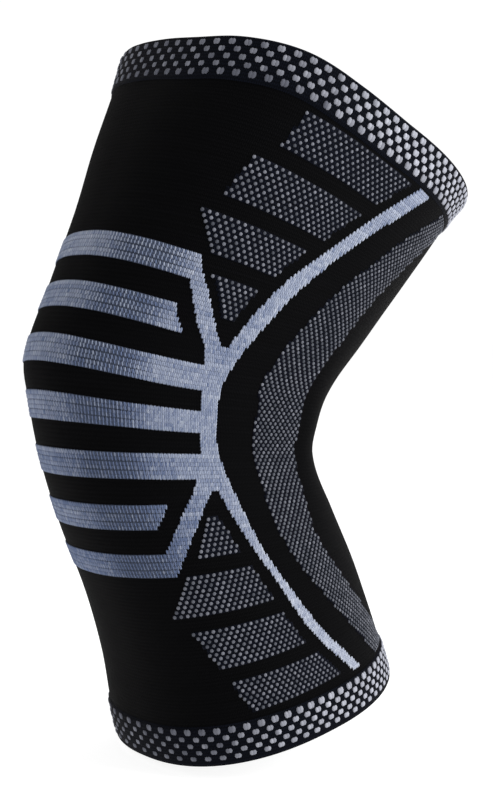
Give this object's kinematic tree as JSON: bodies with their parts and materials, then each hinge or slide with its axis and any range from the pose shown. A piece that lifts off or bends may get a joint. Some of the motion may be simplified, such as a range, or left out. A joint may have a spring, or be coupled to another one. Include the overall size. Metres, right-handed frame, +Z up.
{
  "type": "knee sleeve",
  "caption": "Knitted compression knee sleeve in its bent, worn form: a hollow tube open at both ends, with thick cuffs, light stripes over the kneecap and dotted side panels.",
  "frame": {"origin": "the middle of the knee, inside the hollow sleeve, where the leg holds it", "axes": "+Z up the standing leg, -Y out of the kneecap, +X to the wearer's left side; the sleeve is alike on both sides of X = 0"},
  "size_m": [0.1628, 0.2146, 0.3176],
  "materials": {
    "black_knit": "fine plain knit of black stretch yarn, matt",
    "cuff_knit": "doubled navy-black welt with rows of light grey stitches, matt",
    "light_yarn": "blue-grey yarn in close courses, slightly raised, matt",
    "dotted_knit": "navy-black knit with small light grey stitches, matt"
  },
  "bodies": {
    "root": {"knit_tube": "black_knit", "upper_cuff": "cuff_knit", "lower_cuff": "cuff_knit", "kneecap_frame": "light_yarn", "free_stripe_upper": "light_yarn", "free_stripe_lower": "light_yarn", "panel_thigh_1_left": "dotted_knit", "panel_thigh_2_left": "dotted_knit", "panel_thigh_3_left": "dotted_knit", "panel_thigh_4_left": "dotted_knit", "panel_calf_1_left": "dotted_knit", "panel_calf_2_left": "dotted_knit", "panel_calf_3_left": "dotted_knit", "panel_calf_4_left": "dotted_knit", "crescent_left": "dotted_knit", "panel_thigh_1_right": "dotted_knit", "panel_thigh_2_right": "dotted_knit", "panel_thigh_3_right": "dotted_knit", "panel_thigh_4_right": "dotted_knit", "panel_calf_1_right": "dotted_knit", "panel_calf_2_right": "dotted_knit", "panel_calf_3_right": "dotted_knit", "panel_calf_4_right": "dotted_knit", "crescent_right": "dotted_knit"}
  },
  "joints": []
}
